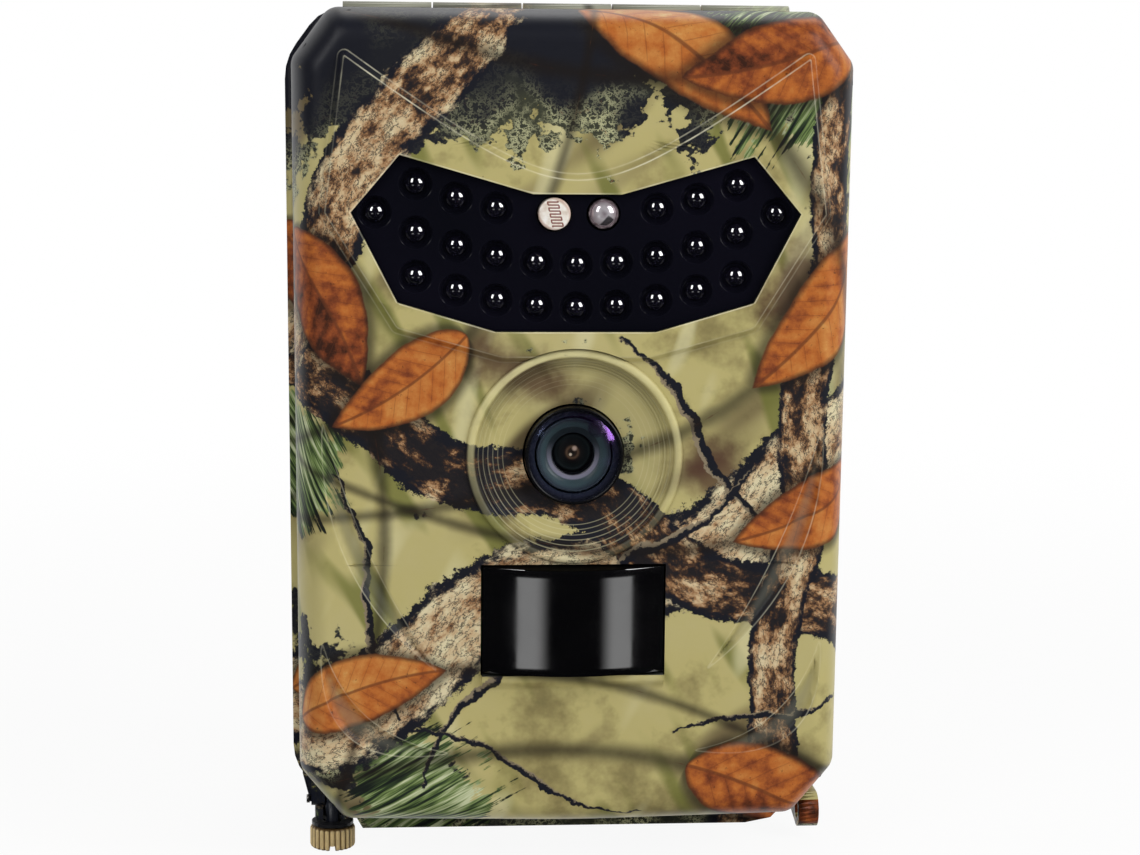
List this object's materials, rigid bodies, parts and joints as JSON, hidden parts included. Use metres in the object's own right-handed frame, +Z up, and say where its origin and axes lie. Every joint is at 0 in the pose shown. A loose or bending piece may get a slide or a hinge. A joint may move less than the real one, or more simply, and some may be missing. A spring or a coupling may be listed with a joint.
{
  "type": "trail camera",
  "caption": "Outdoor trail camera in a clamshell housing with a woodland pattern: infrared window, lens, motion sensor, top-hinged door and a swing bolt with a knurled nut.",
  "frame": {"origin": "middle of the tripod socket's mouth on the underside of the base", "axes": "+Z up, -Y out of the front face towards the subject, +X to the right as the front is looked at"},
  "size_m": [0.0928, 0.0737, 0.1412],
  "materials": {
    "housing_paint": "satin, printed woodland pattern",
    "black_gloss": "gloss",
    "emitter_dome": "high gloss",
    "sensor_face": "gloss",
    "clear_dome": "high gloss",
    "lens_glass": "coated",
    "black_metal": "semi-gloss",
    "brass": "turned and knurled",
    "contact_steel": "plated",
    "board": "solder mask",
    "inner_plastic": "fine texture",
    "display_face": "gloss",
    "key_rubber": "matt",
    "switch_plastic": "matt",
    "seal_rubber": "matt",
    "cell_jacket": "printed sleeve"
  },
  "bodies": {
    "housing": {"rear_shell": "housing_paint", "gasket": "seal_rubber", "battery_tray": "inner_plastic", "battery_1": "cell_jacket", "battery_2": "cell_jacket", "battery_3": "cell_jacket", "battery_4": "cell_jacket", "contact_strip_bottom": "contact_steel", "contact_strip_top": "contact_steel", "tripod_insert": "brass", "hinge_pin": "contact_steel"},
    "plug": {"port_plug": "seal_rubber"},
    "door": {"front_shell": "housing_paint", "ir_panel": "black_gloss", "led_board": "board", "ir_led_01": "emitter_dome", "ir_led_02": "emitter_dome", "ir_led_03": "emitter_dome", "ir_led_04": "emitter_dome", "ir_led_05": "emitter_dome", "ir_led_06": "emitter_dome", "ir_led_07": "emitter_dome", "ir_led_08": "emitter_dome", "ir_led_09": "emitter_dome", "ir_led_10": "emitter_dome", "ir_led_11": "emitter_dome", "ir_led_12": "emitter_dome", "ir_led_13": "emitter_dome", "ir_led_14": "emitter_dome", "ir_led_15": "emitter_dome", "ir_led_16": "emitter_dome", "ir_led_17": "emitter_dome", "ir_led_18": "emitter_dome", "ir_led_19": "emitter_dome", "ir_led_20": "emitter_dome", "ir_led_21": "emitter_dome", "ir_led_22": "emitter_dome", "ir_led_23": "emitter_dome", "ir_led_24": "emitter_dome", "ir_led_25": "emitter_dome", "ir_led_26": "emitter_dome", "light_sensor": "sensor_face", "indicator_led": "clear_dome", "lens_bezel": "black_gloss", "lens_barrel": "black_metal", "lens_glass": "lens_glass", "lens_holder": "inner_plastic", "pir_window": "black_gloss", "pir_sensor": "contact_steel", "main_board": "board", "inner_cover": "inner_plastic", "display": "display_face", "swing_pin": "black_metal"},
    "left_key": {"button_1": "key_rubber"},
    "middle_key": {"button_2": "key_rubber"},
    "right_key": {"button_3": "key_rubber"},
    "mode_slider": {"mode_switch": "switch_plastic"},
    "bolt": {"swing_bolt": "contact_steel", "bolt_washer": "black_metal"},
    "nut": {"brass_nut": "brass"}
  },
  "joints": [
    {"name": "door_hinge", "type": "hinge", "parent": "housing", "child": "door", "pos_m": [0, -0.015, 0.1346], "axis": [-1, 0, 0], "range_deg": [0, 105]},
    {"name": "bolt_swing", "type": "hinge", "parent": "door", "child": "bolt", "pos_m": [-0.039, -0.0205, 0.0038], "axis": [-1, 0, 0], "range_deg": [0, 65]},
    {"name": "nut_spin", "type": "hinge", "parent": "bolt", "child": "nut", "pos_m": [-0.039, -0.0205, -0.0025], "axis": [0, 0, 1], "continuous": true},
    {"name": "plug_pull", "type": "slide", "parent": "housing", "child": "plug", "axis": [0, 0, -1], "range_m": [0, 0.008]},
    {"name": "left_key_press", "type": "slide", "parent": "door", "child": "left_key", "axis": [0, -1, 0], "range_m": [0, 0.0006], "stiffness_N_per_m": 400},
    {"name": "middle_key_press", "type": "slide", "parent": "door", "child": "middle_key", "axis": [0, -1, 0], "range_m": [0, 0.0006], "stiffness_N_per_m": 400},
    {"name": "right_key_press", "type": "slide", "parent": "door", "child": "right_key", "axis": [0, -1, 0], "range_m": [0, 0.0006], "stiffness_N_per_m": 400},
    {"name": "mode_slide", "type": "slide", "parent": "door", "child": "mode_slider", "axis": [0, 0, 1], "range_m": [0, 0.004]}
  ]
}
